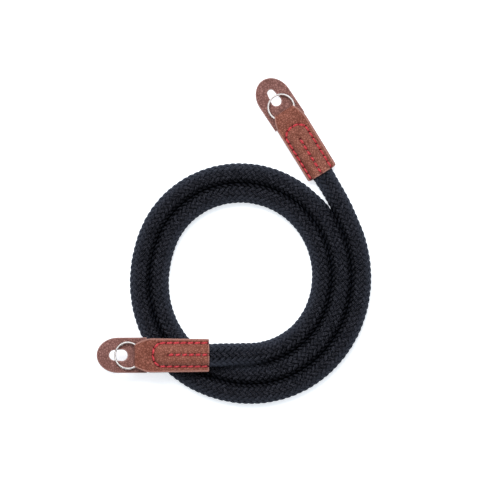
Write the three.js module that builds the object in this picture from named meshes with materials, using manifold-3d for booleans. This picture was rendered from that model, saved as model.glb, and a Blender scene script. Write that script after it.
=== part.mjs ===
// A coiled camera strap as it lies on a table: a round braided rope in a loose spiral, and at each of its
// ends a folded leather end, a split ring and a leather lug guard.
// Millimetres, +Z up. The origin is the middle of the footprint, on the surface that the strap lies on.

import * as THREE from "three";
import { mergeVertices } from "three/addons/utils/BufferGeometryUtils.js";
import Module from "manifold-3d";

const { degToRad, lerp, smoothstep } = THREE.MathUtils;

// Rope
const ROPE_DIAMETER = 11.5;
const SIDE_NARROWING = 0.3; // narrower than high, because the turns lean on each other
const TURN_GAP = 0.37;
const ROPE_SIDES = 12;
const PRESSED_WIDTH = 12.4; // the rope's flat ends, inside the leather
const PRESSED_HEIGHT = 6.6;
const PRESS_RUN = 16; // from the mouth to where the rope is round again

// Coil: turns a rope's width apart, and out of round as a hand lays them. Each wave of its radius has its
// count round the coil, its share of the radius and the direction of its first crest.
const COIL_RADIUS = 47.5;
const COIL_WAVES = [
  { count: 1, share: 0.0563, towards: 81.5 },
  { count: 2, share: 0.0324, towards: 125.3 },
  { count: 3, share: 0.0144, towards: 48.5 },
];
const COIL_START = -90;
const COIL_END = 750;
const COIL_STEP = 12;
const STEP_OUT = { from: 155, to: 245 }; // where each turn moves out by one rope's width
const RUN_OUT = 19.7; // straight rope between the coil's inner start and the left mouth
const RUN_STATIONS = [0.25, 0.6]; // shares of that run, from the mouth
const DESCENT = 46; // rope that comes down from the left mouth to the table

// The outer end leaves the coil: degrees round it, and rope diameters further out than the turn would be
const LEAVING = [
  { at: 757.5, out: 0.035 },
  { at: 763, out: 0.125 },
  { at: 768, out: 0.27 },
];
const TOP_MOUTH = { at: 772.1, out: 0.419 };

// Leather end, with x from its mouth to its ring and z from the plane that it lies on
const LEATHER = 1.4;
const FIT_GAP = 0.3;
const POCKET_LENGTH = 33; // to the curved seam that closes it
const NECK_LENGTH = 10.7;
const LEFT_END_WIDTH = 20;
const TOP_END_WIDTH = 18.2;
const NECK_WIDTH = 13;
const MOUTH_NARROWING = 0.8;
const SEAM_MARGIN = 0.6; // from the pocket's side to the seam beside it
const SEAM_ROUND = 4.7; // how far the curved seam bows out
const SHOULDER_GAP = 1; // from the curved seam to where the end narrows
const SHOULDER_CURVE = 1.7;
const GROOVE_DEPTH = 0.4; // pulled in by the middle seam
const GROOVE_HALF_WIDTH = 1.5;
const GROOVE_STOP = 5; // from the groove's end to the pocket's rounding
const BULGE_FULLNESS = 0.6;
const BULGE_LANES = [0.15, 0.35, 0.55, 0.75, 0.9, 1];
const LANES_WITHIN = 0.75; // share of the half width that the lanes keep to where the end is narrow
const NOSE_ANGLES = [25, 50, 75];
const POCKET_STEPS = 5;
const NECK_STEPS = 6;

// Split ring: two close turns of flattened wire
const RING_RADIUS = 7.6;
const RING_SEAT = 4.8; // from the leather's nose back to the wire inside it
const WIRE_WIDTH = 1.25;
const WIRE_HEIGHT = 0.9;
const WIRE_SIDES = 6;
const WIRE_GAP = 0.1;
const WIRE_STEPS = 30;
const CLIMB_ANGLE = 45; // the wire climbs from its lower turn to its upper one over this angle
const CLIMB_AT = 180; // inside the leather eye
const RING_SPACE_SIDES = 48;

// Lug guard
const GUARD_LENGTH = 29.5;
const GUARD_WIDTH = 20.8;
const GUARD_TIP = 11.6; // length of its rounded tip
const GUARD_THICKNESS = 1.4;
const GUARD_ARC_STEPS = 14;
const GUARD_UNDERLAP = 7.5; // under the leather's nose
const SLOT_LENGTH = 10.7;
const SLOT_WIDTH = 6.8;
const SLOT_INSET = 1.55; // from the ring's far side back to the slot's middle

// Each end's own width, heading round +Z, tilt of its tip above level, turn of its guard, and the height of
// the plane that it lies on: the left end lies across two turns of the rope, and the top end on the table.
const ENDS = [
  {
    name: "left",
    width: LEFT_END_WIDTH,
    heading: 180,
    tilt: 4,
    guardTurn: 0,
    liesOn: ROPE_DIAMETER + FIT_GAP,
  },
  { name: "top", width: TOP_END_WIDTH, heading: 121.6, tilt: 0, guardTurn: 2, liesOn: 0 },
];

const MATERIALS = {
  rope: { color: 0x1e2028, roughness: 0.9, metalness: 0 },
  leather_end: { color: 0x8a5240, roughness: 0.65, metalness: 0 },
  split_ring: { color: 0xd4d6d8, roughness: 0.2, metalness: 1 },
  lug_guard: { color: 0x8c6058, roughness: 0.7, metalness: 0 },
};

const TURN_SPACING = ROPE_DIAMETER - SIDE_NARROWING + TURN_GAP;
const RING_HALF_HEIGHT = WIRE_HEIGHT + WIRE_GAP / 2;
const EYE_HALF = RING_HALF_HEIGHT + FIT_GAP + LEATHER;
const EYE_HEIGHT = GUARD_THICKNESS + FIT_GAP + EYE_HALF;
const POCKET_HALF = PRESSED_HEIGHT / 2 + FIT_GAP + LEATHER;
const SEAM_HALF_WIDTH = PRESSED_WIDTH / 2 + FIT_GAP + SEAM_MARGIN;
const END_LENGTH = POCKET_LENGTH + NECK_LENGTH;
const NOSE_START = END_LENGTH - EYE_HALF;
const DOME_START = POCKET_LENGTH - SEAM_ROUND;
const SHOULDER_START = POCKET_LENGTH + SHOULDER_GAP;
const ROPE_TUCK = DOME_START - FIT_GAP;
const EYE_START = END_LENGTH - RING_SEAT;
const RING_CENTRE = EYE_START + RING_RADIUS;
const GUARD_START = END_LENGTH - GUARD_UNDERLAP;
const SLOT_CENTRE = RING_CENTRE + RING_RADIUS - SLOT_INSET - GUARD_START;

const wasm = await Module();
wasm.setup();

// A closed body through rings of points that all have the same count and turn the same way.
function loft(rings) {
  const count = rings[0].length;
  const index = [];
  for (let r = 0; r + 1 < rings.length; r++) {
    for (let i = 0; i < count; i++) {
      const a = r * count + i;
      const b = r * count + ((i + 1) % count);
      index.push(a, b, b + count, a, b + count, a + count);
    }
  }
  const last = (rings.length - 1) * count;
  for (let i = 1; i + 1 < count; i++) {
    index.push(0, i + 1, i, last, last + i, last + i + 1);
  }
  const geometry = new THREE.BufferGeometry().setFromPoints(rings.flat());
  geometry.setIndex(index);
  geometry.computeVertexNormals();
  return geometry;
}

function solidOf(geometry) {
  const bare = geometry.clone();
  bare.deleteAttribute("normal");
  bare.deleteAttribute("uv");
  const merged = mergeVertices(bare, 1e-4);
  return new wasm.Manifold(
    new wasm.Mesh({
      numProp: 3,
      vertProperties: merged.attributes.position.array,
      triVerts: new Uint32Array(merged.index.array),
    }),
  );
}

function geometryOf(solid) {
  const mesh = solid.getMesh();
  const geometry = new THREE.BufferGeometry();
  geometry.setAttribute("position", new THREE.Float32BufferAttribute(mesh.vertProperties, 3));
  geometry.setIndex(new THREE.Uint32BufferAttribute(mesh.triVerts, 1));
  geometry.computeVertexNormals();
  return geometry;
}

// A many-sided section measured across its flats, so that a flat side is down and another faces each neighbour.
function flatSided(halfWidth, halfHeight) {
  const reach = 1 / Math.cos(Math.PI / ROPE_SIDES);
  return Array.from({ length: ROPE_SIDES }, (_, i) => {
    const angle = ((i + 0.5) * 2 * Math.PI) / ROPE_SIDES;
    return [halfWidth * reach * Math.cos(angle), halfHeight * reach * Math.sin(angle)];
  });
}

// Distance of the rope's middle from the coil's centre, at an angle counted on through all its turns.
function coilRadius(angle) {
  let outOfRound = 1;
  for (const wave of COIL_WAVES) {
    outOfRound += wave.share * Math.cos(degToRad(wave.count * (angle - wave.towards)));
  }
  let turns = 0;
  for (let start = 0; start < COIL_END; start += 360) {
    turns += smoothstep(angle, start + STEP_OUT.from, start + STEP_OUT.to);
  }
  return COIL_RADIUS * outOfRound + TURN_SPACING * turns;
}

function coilPoint(angle, out = 0) {
  const radius = coilRadius(angle) + out * ROPE_DIAMETER;
  const turn = degToRad(angle);
  return new THREE.Vector3(radius * Math.cos(turn), radius * Math.sin(turn), ROPE_DIAMETER / 2);
}

// The frame of an end: its origin is under the middle of the mouth, on the plane that the end lies on.
function endFrame(end) {
  const mouth =
    end.name === "left"
      ? coilPoint(COIL_START).add(new THREE.Vector3(-RUN_OUT, 0, 0))
      : coilPoint(TOP_MOUTH.at, TOP_MOUTH.out);
  const frame = new THREE.Group();
  frame.position.set(mouth.x, mouth.y, end.liesOn);
  frame.rotation.set(0, degToRad(-end.tilt), degToRad(end.heading), "ZYX");
  frame.updateMatrixWorld(true);
  return frame;
}

// The rope's stations from the left end's pocket, round the coil, to the top end's pocket. Each has its
// middle and its share of pressing, from 0 where it is round to 1 where it is sewn flat.
function ropeStations(frames) {
  const pocket = (frame, x) => ({
    middle: frame.localToWorld(new THREE.Vector3(x, 0, POCKET_HALF)),
    press: 1,
  });
  const stations = [ROPE_TUCK, ROPE_TUCK / 2, 0].map((x) => pocket(frames.left, x));
  const leftMouth = stations[2].middle;
  const topMouth = pocket(frames.top, 0).middle;
  const start = coilPoint(COIL_START);

  const open = [];
  for (const share of RUN_STATIONS) {
    open.push(new THREE.Vector3(lerp(leftMouth.x, start.x, share), start.y, start.z));
  }
  for (let angle = COIL_START; angle <= COIL_END; angle += COIL_STEP) {
    open.push(coilPoint(angle));
  }
  for (const row of LEAVING) {
    open.push(coilPoint(row.at, row.out));
  }

  let travelled = 0;
  let before = new THREE.Vector3(leftMouth.x, leftMouth.y, start.z);
  for (const point of open) {
    travelled += point.distanceTo(before);
    before = point.clone();
    const raised = 1 - smoothstep(travelled, 0, DESCENT);
    const toTop = Math.hypot(point.x - topMouth.x, point.y - topMouth.y);
    const press = 1 - smoothstep(Math.min(travelled, toTop), 0, PRESS_RUN);
    const settle = travelled > DESCENT ? press : 0;
    point.z = lerp(point.z, leftMouth.z, raised);
    point.z = lerp(point.z, topMouth.z, settle);
    stations.push({ middle: point, press });
  }
  for (const x of [0, ROPE_TUCK / 2, ROPE_TUCK]) {
    stations.push(pocket(frames.top, x));
  }
  return stations;
}

function makeRope(frames) {
  const stations = ropeStations(frames);
  const up = new THREE.Vector3(0, 0, 1);
  const rings = stations.map(({ middle, press }, i) => {
    const from = stations[Math.max(i - 1, 0)].middle;
    const to = stations[Math.min(i + 1, stations.length - 1)].middle;
    const along = to.clone().sub(from).normalize();
    const side = along.clone().cross(up).normalize();
    const above = side.clone().cross(along);
    const halfWidth = lerp(ROPE_DIAMETER - SIDE_NARROWING, PRESSED_WIDTH, press) / 2;
    const halfHeight = lerp(ROPE_DIAMETER, PRESSED_HEIGHT, press) / 2;
    return flatSided(halfWidth, halfHeight).map(([u, v]) =>
      middle.clone().addScaledVector(side, u).addScaledVector(above, v),
    );
  });
  return loft(rings.reverse());
}

// Places along the leather end, with the share of the pocket's bulge that is left at each and the share of
// full thickness, which falls to nothing where the strip turns back on itself.
function leatherStations() {
  const stations = [];
  for (let i = 0; i < POCKET_STEPS; i++) {
    stations.push({ x: (DOME_START * i) / POCKET_STEPS, dome: 1, fold: 1 });
  }
  for (let i = 0; i <= POCKET_STEPS; i++) {
    const turn = ((i / POCKET_STEPS) * Math.PI) / 2;
    stations.push({ x: DOME_START + SEAM_ROUND * Math.sin(turn), dome: Math.cos(turn), fold: 1 });
  }
  for (let i = 1; i <= NECK_STEPS; i++) {
    stations.push({ x: lerp(POCKET_LENGTH, NOSE_START, i / NECK_STEPS), dome: 0, fold: 1 });
  }
  for (const turn of NOSE_ANGLES.map(degToRad)) {
    stations.push({ x: NOSE_START + EYE_HALF * Math.sin(turn), dome: 0, fold: Math.cos(turn) });
  }
  return stations;
}

// Half the thickness: one layer at the flat sides and neck, more round the ring and over the rope, and less
// along the middle seam.
function halfThickness({ x, dome, fold }, y) {
  const layers = fold * lerp(LEATHER, EYE_HALF, smoothstep(x, POCKET_LENGTH, EYE_START));
  const groove = 1 - smoothstep(x, DOME_START - GROOVE_STOP, DOME_START);
  const pulledIn = GROOVE_DEPTH * groove * Math.exp(-((y / GROOVE_HALF_WIDTH) ** 2));
  const acrossBulge = Math.abs(y) / (SEAM_HALF_WIDTH * dome);
  if (!(acrossBulge < 1)) {
    return layers - pulledIn;
  }
  const bulge = (POCKET_HALF - LEATHER) * dome * (1 - acrossBulge ** 2) ** BULGE_FULLNESS;
  return layers + bulge - pulledIn;
}

function leatherOutside(end) {
  return leatherStations().map((station) => {
    const { x } = station;
    const shoulder = Math.max(0, (x - SHOULDER_START) / (END_LENGTH - SHOULDER_START));
    const fullWidth = end.width - MOUTH_NARROWING * (1 - Math.min(1, x / SHOULDER_START));
    const halfWidth = lerp(fullWidth, NECK_WIDTH, shoulder ** SHOULDER_CURVE) / 2;
    const bulgeWidth = Math.min(SEAM_HALF_WIDTH, LANES_WITHIN * halfWidth);
    const right = [...BULGE_LANES.map((lane) => lane * bulgeWidth), halfWidth];
    const across = [...right.map((y) => -y).reverse(), 0, ...right];
    const middle = lerp(POCKET_HALF, EYE_HEIGHT, smoothstep(x, DOME_START, NOSE_START));
    const top = across.map((y) => new THREE.Vector3(x, y, middle + halfThickness(station, y)));
    const bottom = across.map((y) => new THREE.Vector3(x, y, middle - halfThickness(station, y)));
    return [...top, ...bottom.reverse()];
  });
}

function makeLeatherEnd(end) {
  const outside = loft(leatherOutside(end).reverse());
  const cavity = flatSided(PRESSED_WIDTH / 2 + FIT_GAP, PRESSED_HEIGHT / 2 + FIT_GAP);
  const ends = [-FIT_GAP, DOME_START];
  const inside = loft(ends.map((x) => cavity.map(([y, z]) => new THREE.Vector3(x, y, POCKET_HALF + z))));
  return geometryOf(solidOf(outside).subtract(solidOf(inside)).subtract(solidOf(ringSpace())));
}

// Height of the ring's middle above the end's plane, at its centre, and its tilt down to the guard.
function ringPlace() {
  const farHeight = GUARD_THICKNESS + FIT_GAP + RING_HALF_HEIGHT;
  const tilt = Math.atan2(EYE_HEIGHT - farHeight, 2 * RING_RADIUS);
  return { height: (EYE_HEIGHT + farHeight) / 2, tilt };
}

function placeRing(object) {
  const { height, tilt } = ringPlace();
  object.position.set(RING_CENTRE, 0, height);
  object.rotation.set(0, tilt, 0);
  object.updateMatrix();
  return object;
}

// The ring-shaped space that the leather eye leaves for the ring.
function ringSpace() {
  const halfWidth = WIRE_WIDTH / 2 + FIT_GAP;
  const halfHeight = RING_HALF_HEIGHT + FIT_GAP;
  const profile = [
    [RING_RADIUS - halfWidth, -halfHeight],
    [RING_RADIUS + halfWidth, -halfHeight],
    [RING_RADIUS + halfWidth, halfHeight],
    [RING_RADIUS - halfWidth, halfHeight],
    [RING_RADIUS - halfWidth, -halfHeight],
  ].map(([r, h]) => new THREE.Vector2(r, h));
  const space = new THREE.LatheGeometry(profile, RING_SPACE_SIDES).rotateX(Math.PI / 2);
  return space.applyMatrix4(placeRing(new THREE.Object3D()).matrix);
}

// Two turns of wire, one over the other. The wire climbs between them, and its two ends stop at the climb.
class RingWire extends THREE.Curve {
  getPoint(share, target = new THREE.Vector3()) {
    const angle = lerp(CLIMB_ANGLE / 2, 720 - CLIMB_ANGLE / 2, share);
    const climb = smoothstep(angle, 360 - CLIMB_ANGLE / 2, 360 + CLIMB_ANGLE / 2);
    const height = (WIRE_HEIGHT + WIRE_GAP) * (climb - 0.5);
    const turn = degToRad(angle + CLIMB_AT);
    return target.set(RING_RADIUS * Math.cos(turn), RING_RADIUS * Math.sin(turn), height);
  }
}

// The wire's section is drawn upright in x and across in y, as a curve's first two frame directions here are.
function makeRing() {
  const acrossFlats = 1 / Math.cos(Math.PI / WIRE_SIDES);
  const corners = Array.from({ length: WIRE_SIDES }, (_, i) => {
    const angle = (i * 2 * Math.PI) / WIRE_SIDES;
    const upright = (WIRE_HEIGHT / 2) * acrossFlats * Math.sin(angle);
    return new THREE.Vector2(upright, (WIRE_WIDTH / 2) * Math.cos(angle));
  });
  return new THREE.ExtrudeGeometry(new THREE.Shape(corners), {
    steps: WIRE_STEPS,
    extrudePath: new RingWire(),
  });
}

function makeGuard() {
  const halfWidth = GUARD_WIDTH / 2;
  const outline = new THREE.Shape();
  outline.moveTo(0, -halfWidth);
  outline.lineTo(GUARD_LENGTH - GUARD_TIP, -halfWidth);
  const tip = [GUARD_LENGTH - GUARD_TIP, 0, GUARD_TIP, halfWidth];
  outline.absellipse(...tip, -Math.PI / 2, Math.PI / 2);
  outline.lineTo(0, halfWidth);
  outline.closePath();

  const slotHalf = SLOT_WIDTH / 2;
  const straight = (SLOT_LENGTH - SLOT_WIDTH) / 2;
  const slot = new THREE.Path();
  slot.absarc(SLOT_CENTRE + straight, 0, slotHalf, -Math.PI / 2, Math.PI / 2);
  slot.absarc(SLOT_CENTRE - straight, 0, slotHalf, Math.PI / 2, (3 * Math.PI) / 2);
  slot.closePath();
  outline.holes.push(slot);

  return new THREE.ExtrudeGeometry(outline, {
    depth: GUARD_THICKNESS,
    bevelEnabled: false,
    curveSegments: GUARD_ARC_STEPS,
  });
}

function piece(kind, end, geometry) {
  const mesh = new THREE.Mesh(geometry, new THREE.MeshStandardMaterial(MATERIALS[kind]));
  mesh.name = end ? `${kind}_${end.name}` : kind;
  return mesh;
}

const frames = Object.fromEntries(ENDS.map((end) => [end.name, endFrame(end)]));
const laid = new THREE.Group();
laid.add(piece("rope", null, makeRope(frames)));
for (const end of ENDS) {
  const guard = piece("lug_guard", end, makeGuard());
  guard.position.set(GUARD_START, 0, 0);
  guard.rotation.z = degToRad(end.guardTurn);
  frames[end.name].add(piece("leather_end", end, makeLeatherEnd(end)));
  frames[end.name].add(placeRing(piece("split_ring", end, makeRing())));
  frames[end.name].add(guard);
  laid.add(frames[end.name]);
}

const box = new THREE.Box3().setFromObject(laid, true);
laid.position.set(-(box.min.x + box.max.x) / 2, -(box.min.y + box.max.y) / 2, -box.min.z);

const strap = new THREE.Group();
strap.add(laid);

export default strap;
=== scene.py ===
"""Looks of a coiled camera strap: braided rope, sewn leather ends, split rings and lug guards.

Metres throughout, +Z up. The coil's own frame has its origin at the coil's centre, on the table.
"""

import logging
import math
from collections.abc import Callable
from dataclasses import dataclass, field
from enum import Enum

import bpy
import numpy as np
from numpy.typing import NDArray
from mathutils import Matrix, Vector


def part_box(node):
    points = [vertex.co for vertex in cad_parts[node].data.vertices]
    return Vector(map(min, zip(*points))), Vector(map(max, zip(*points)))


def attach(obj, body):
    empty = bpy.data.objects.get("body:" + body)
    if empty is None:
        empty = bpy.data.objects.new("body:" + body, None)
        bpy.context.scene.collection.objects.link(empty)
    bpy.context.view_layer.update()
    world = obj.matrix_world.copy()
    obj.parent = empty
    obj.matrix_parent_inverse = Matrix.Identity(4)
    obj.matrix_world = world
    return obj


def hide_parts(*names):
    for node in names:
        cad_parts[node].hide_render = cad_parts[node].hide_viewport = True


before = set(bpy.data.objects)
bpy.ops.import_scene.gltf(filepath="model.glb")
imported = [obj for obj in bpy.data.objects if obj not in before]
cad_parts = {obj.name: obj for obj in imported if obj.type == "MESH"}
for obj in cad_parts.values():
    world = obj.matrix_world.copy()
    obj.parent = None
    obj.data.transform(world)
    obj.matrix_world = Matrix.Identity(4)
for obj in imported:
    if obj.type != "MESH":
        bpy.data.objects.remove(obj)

Array = NDArray[np.float64]
Colour = tuple[float, float, float, float]
Material = bpy.types.Material
Node = bpy.types.Node
Socket = bpy.types.NodeSocket
Sockets = dict[str, Socket]
Tree = bpy.types.NodeTree

LOG = logging.getLogger("strap")
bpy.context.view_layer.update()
BODY = "root"
SEED = 7
EASE_STEPS = 20
MM = 0.001


class Hand(Enum):
    """Which way a strand of the braid winds round the rope."""

    RIGHT = 1
    LEFT = -1


class EndName(Enum):
    """The strap's two ends, by where they lie in a view from above."""

    LEFT = "left"
    TOP = "top"


class Slot(Enum):
    """The record's material slots."""

    ROPE = "rope_braid"
    END = "end_leather"
    GUARD = "guard_leather"
    RING = "ring_wire"
    THREAD = "stitch_thread"


# ---- arrays and meshes ----


def smooth_step(value: Array, low: float, high: float) -> Array:
    """Rises from 0 at low to 1 at high along 3t^2 - 2t^3."""
    share = np.clip((value - low) / (high - low), 0.0, 1.0)
    return share * share * (3.0 - 2.0 * share)


def mix(start: float | Array, end: float | Array, share: float | Array) -> Array:
    """Straight blend from start to end."""
    return start + (end - start) * share


def unit(vectors: Array) -> Array:
    """Vectors scaled to length 1, along the last axis."""
    return vectors / np.maximum(np.linalg.norm(vectors, axis=-1, keepdims=True), 1e-12)


def turn_z(degrees: float) -> Array:
    """Matrix of a turn about +Z."""
    c, s = math.cos(math.radians(degrees)), math.sin(math.radians(degrees))
    return np.array([[c, -s, 0.0], [s, c, 0.0], [0.0, 0.0, 1.0]])


def turn_y(degrees: float) -> Array:
    """Matrix of a turn about +Y."""
    c, s = math.cos(math.radians(degrees)), math.sin(math.radians(degrees))
    return np.array([[c, 0.0, s], [0.0, 1.0, 0.0], [-s, 0.0, c]])


def lengths_along(points: Array) -> Array:
    """Distance travelled along a line of points, starting at 0."""
    steps = np.linalg.norm(np.diff(points, axis=0), axis=1)
    return np.concatenate([[0.0], np.cumsum(steps)])


@dataclass
class Place:
    """A frame inside the row frame: points are turned, then moved.

    Attributes:
        origin: Where the frame's origin lies.
        axes: Matrix whose columns are the frame's axes.
    """

    origin: Array
    axes: Array

    def put(self, points: Array) -> Array:
        """Points of this frame, in the frame that holds it."""
        return points @ self.axes.T + self.origin

    def inside(self, origin: Array, axes: Array) -> "Place":
        """A frame that stands at origin and axes inside this one."""
        return Place(self.put(origin), self.axes @ axes)


class Cap(Enum):
    """How the two ends of a tube-like sheet are closed."""

    JOINED = "the last row meets the first"
    FLAT = "one polygon at each end"
    STRIP = "a strip of faces between the section's two halves at each end"


@dataclass
class Sheet:
    """A closed surface on a grid: each row is a closed ring of points, and the rows follow a path.

    Attributes:
        points: Rows by columns by 3. Columns turn so that their cross product with the rows points out.
        cap: How the ends are closed.
        uv: Corner coordinates, rows + 1 by columns + 1 by 2 at most; None gives shares of the grid.
        values: Named numbers of each point, rows by columns.
    """

    points: Array
    cap: Cap = Cap.FLAT
    uv: Array | None = None
    values: dict[str, Array] = field(default_factory=dict)

    def faces(self) -> tuple[Array, list[list[int]], Array]:
        """Works out the faces between neighbouring rows and columns.

        Returns:
            The quads, the end faces, and each quad's corner UVs.
        """
        rows, cols = self.points.shape[:2]
        spans = rows if self.cap is Cap.JOINED else rows - 1
        i, j = np.meshgrid(np.arange(spans), np.arange(cols), indexing="ij")
        corners = [(i, j), (i, j + 1), (i + 1, j + 1), (i + 1, j)]
        quads = np.stack([(a % rows) * cols + b % cols for a, b in corners], -1).reshape(-1, 4)
        if self.uv is None:
            uv = np.stack([np.stack([b / cols, a / spans], -1) for a, b in corners], -2)
        else:
            uv = np.stack([self.uv[a % len(self.uv), b % self.uv.shape[1]] for a, b in corners], -2)
        return quads, self.end_faces(rows, cols), uv.reshape(-1, 4, 2)

    def end_faces(self, rows: int, cols: int) -> list[list[int]]:
        """Faces that close the first and the last row.

        Args:
            rows: How many rows the sheet has.
            cols: How many points a row has.

        Returns:
            Each face's point numbers.
        """
        last = (rows - 1) * cols
        if self.cap is Cap.FLAT:
            ring = list(range(cols))
            return [ring[::-1], [last + k for k in ring]]
        if self.cap is Cap.STRIP:
            strips = [[k, k + 1, cols - 2 - k, cols - 1 - k] for k in range(cols // 2 - 1)]
            return [s[::-1] for s in strips] + [[last + k for k in s] for s in strips]
        return []


def make_piece(
    name: str, sheets: list[Sheet], material: Material, replaces: str | None = None
) -> bpy.types.Object:
    """One mesh object out of closed sheets, smooth shaded, at the origin.

    Args:
        name: The piece's name.
        sheets: Closed surfaces in the row frame.
        material: What it is finished with.
        replaces: The CAD node that it takes the place of.

    Returns:
        The linked object, riding on the strap's one body.
    """
    vertices, faces, uvs, start = [], [], [], 0
    for sheet in sheets:
        quads, ends, uv = sheet.faces()
        vertices.append(sheet.points.reshape(-1, 3))
        faces += (quads + start).tolist() + [[k + start for k in end] for end in ends]
        corners = sum(len(end) for end in ends)
        uvs += [uv.reshape(-1, 2), np.zeros((corners, 2))]
        start += len(vertices[-1])
    mesh = bpy.data.meshes.new(name)
    mesh.from_pydata(np.concatenate(vertices).tolist(), [], faces)
    layer = mesh.uv_layers.new(name="surface")
    layer.data.foreach_set("uv", np.concatenate(uvs).astype(np.float32).ravel())
    for key in sheets[0].values:
        numbers = np.concatenate([s.values[key].ravel() for s in sheets])
        attribute = mesh.attributes.new(key, "FLOAT", "POINT")
        attribute.data.foreach_set("value", numbers.astype(np.float32))
    mesh.polygons.foreach_set("use_smooth", np.ones(len(mesh.polygons), bool))
    mesh.materials.append(material)
    mesh.validate()
    mesh.update()
    piece = bpy.data.objects.new(name, mesh)
    bpy.context.scene.collection.objects.link(piece)
    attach(piece, BODY)
    if replaces:
        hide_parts(replaces)
    LOG.info("%s: %d vertices, %d faces", name, len(mesh.vertices), len(mesh.polygons))
    return piece


# ---- rope ----


@dataclass
class RopeRoute:
    """The rope's way from inside the left leather end, round the coil, to inside the top one.

    Its radius is the coil's, times one plus three waves, plus one rope's width for each step outwards.

    Attributes:
        waves: How far the coil is out of round: waves round it, share of its radius, and the way of a crest.
        step_out: Between these angles of each turn, the rope steps out past the turn before.
        run_out: Length of the straight run from the left mouth to the coil.
        descent: Length of rope over which it comes down from the left mouth to the table.
        leaving: Angles past the coil's end, and how many rope widths further out the rope is there.
        settling: Waves of every turn, each as a count, a size and the way of a crest.
        loosening: Waves that grow with each step outwards, given likewise.
        ease: Half width of the bell that rounds the route's corners.
    """

    diameter: float = 11.5 * MM
    side_narrowing: float = 0.3 * MM
    turn_gap: float = 0.37 * MM
    pressed_width: float = 12.4 * MM
    pressed_height: float = 6.6 * MM
    press_run: float = 16 * MM
    coil_radius: float = 47.5 * MM
    waves: tuple[tuple[int, float, float], ...] = ((1, 0.0563, 81.5), (2, 0.0324, 125.3), (3, 0.0144, 48.5))
    coil_start: float = -90.0
    coil_end: float = 750.0
    coil_step: float = 12.0
    step_out: tuple[float, float] = (155.0, 245.0)
    run_out: float = 19.7 * MM
    run_shares: tuple[float, float] = (0.25, 0.6)
    descent: float = 46 * MM
    leaving: tuple[tuple[float, float], ...] = ((757.5, 0.09), (763.0, 0.165), (768.0, 0.285))
    top_mouth: tuple[float, float] = (772.1, 0.419)
    sides: int = 12
    spacing: float = 0.6 * MM
    ease: float = 3 * MM
    settling: tuple[tuple[int, float, float], ...] = (
        (0, -0.34 * MM, 0.0), (1, 0.215 * MM, -24.9), (2, 0.323 * MM, 11.6), (3, 0.236 * MM, -12.5),
    )
    loosening: tuple[tuple[int, float, float], ...] = (
        (0, 0.132 * MM, 0.0), (1, 0.14 * MM, -42.6), (2, 0.224 * MM, -62.9),
    )
    settled_by: float = 720.0

    def radius(self, angle: Array) -> Array:
        """The coil's size times one plus its waves, and one rope's width more for each step outwards.

        Args:
            angle: Degrees round the coil, counted on from turn to turn.

        Returns:
            Distance of the rope's middle from the coil's centre.
        """
        out_of_round = 1.0 + sum(
            share * np.cos(np.radians(count * (angle - towards))) for count, share, towards in self.waves
        )
        spacing = self.diameter - self.side_narrowing + self.turn_gap
        return self.coil_radius * out_of_round + spacing * self.turns_out(angle)

    def turns_out(self, angle: Array) -> Array:
        """How many steps outwards lie behind, at degrees counted on."""
        low, high = self.step_out
        return sum(smooth_step(angle, start + low, start + high) for start in (0.0, 360.0, 720.0))

    def settled(self, angle: Array) -> Array:
        """Waves that every turn has, and waves that grow with each step outwards, faded out at the end.

        Args:
            angle: Degrees counted on.

        Returns:
            How far the turns lie out from the plain spiral.
        """
        lay, loose = (
            sum(size * np.cos(np.radians(count * (angle - towards))) for count, size, towards in waves)
            for waves in (self.settling, self.loosening)
        )
        fading = 1 - smooth_step(angle, self.settled_by, self.coil_end)
        return (lay + loose * self.turns_out(angle)) * fading

    def point(self, angle: Array, out: float | Array = 0.0) -> Array:
        """Points of the coil on the table.

        Args:
            angle: Degrees counted on.
            out: Rope diameters beyond the coil's radius.

        Returns:
            The rope's middle at each angle.
        """
        angle = np.asarray(angle, float)
        reach = self.radius(angle) + np.asarray(out) * self.diameter
        turn = np.radians(angle)
        height = np.full_like(reach, self.diameter / 2)
        return np.stack([reach * np.cos(turn), reach * np.sin(turn), height], -1)

    def mouth(self, name: EndName) -> Array:
        """Where the rope enters a leather end, seen from above.

        Args:
            name: Which end.

        Returns:
            The mouth's middle.
        """
        if name is EndName.LEFT:
            return self.point(self.coil_start) - np.array([self.run_out, 0.0, 0.0])
        return self.point(*self.top_mouth)

    def stations(self, ends: dict[EndName, "EndDesign"]) -> tuple[Array, Array]:
        """The route's chosen points: in the left end, down its run, round the coil and into the top end.

        The rope comes down from the left mouth along a smooth step, and is pressed flat near both mouths.

        Args:
            ends: The two ends' designs.

        Returns:
            The points in the coil's frame, and how far the rope is pressed flat at each.
        """
        left, top = (ends[name].pocket_line() for name in (EndName.LEFT, EndName.TOP))
        start = self.point(self.coil_start)
        angles = np.arange(self.coil_start, self.coil_end + 1e-6, self.coil_step)
        out = self.settled(angles)
        coil = self.point(angles) + unit(self.point(angles) * [1, 1, 0]) * out[:, None]
        run = [
            mix(left[0], start, share) * [1, 0, 1] + (start - [0, share * out[0], 0]) * [0, 1, 0]
            for share in self.run_shares
        ]
        away = np.array(self.leaving)
        open_run = np.concatenate([np.array(run), coil, self.point(away[:, 0], away[:, 1])])
        open_run[:, 2] = self.diameter / 2
        below_mouth = [[left[0, 0], left[0, 1], self.diameter / 2]]
        travelled = lengths_along(np.concatenate([below_mouth, open_run]))[1:]
        to_top = np.linalg.norm(open_run[:, :2] - top[0, :2], axis=1)
        press = 1.0 - smooth_step(np.minimum(travelled, to_top), 0.0, self.press_run)
        raised = 1.0 - smooth_step(travelled, 0.0, self.descent)
        open_run[:, 2] = mix(open_run[:, 2], left[0, 2], raised)
        settle = np.where(travelled > self.descent, press, 0.0)
        open_run[:, 2] = mix(open_run[:, 2], top[0, 2], settle)
        points = np.concatenate([left[::-1], open_run, top])
        return points, np.concatenate([np.ones(len(left)), press, np.ones(len(top))])

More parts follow.
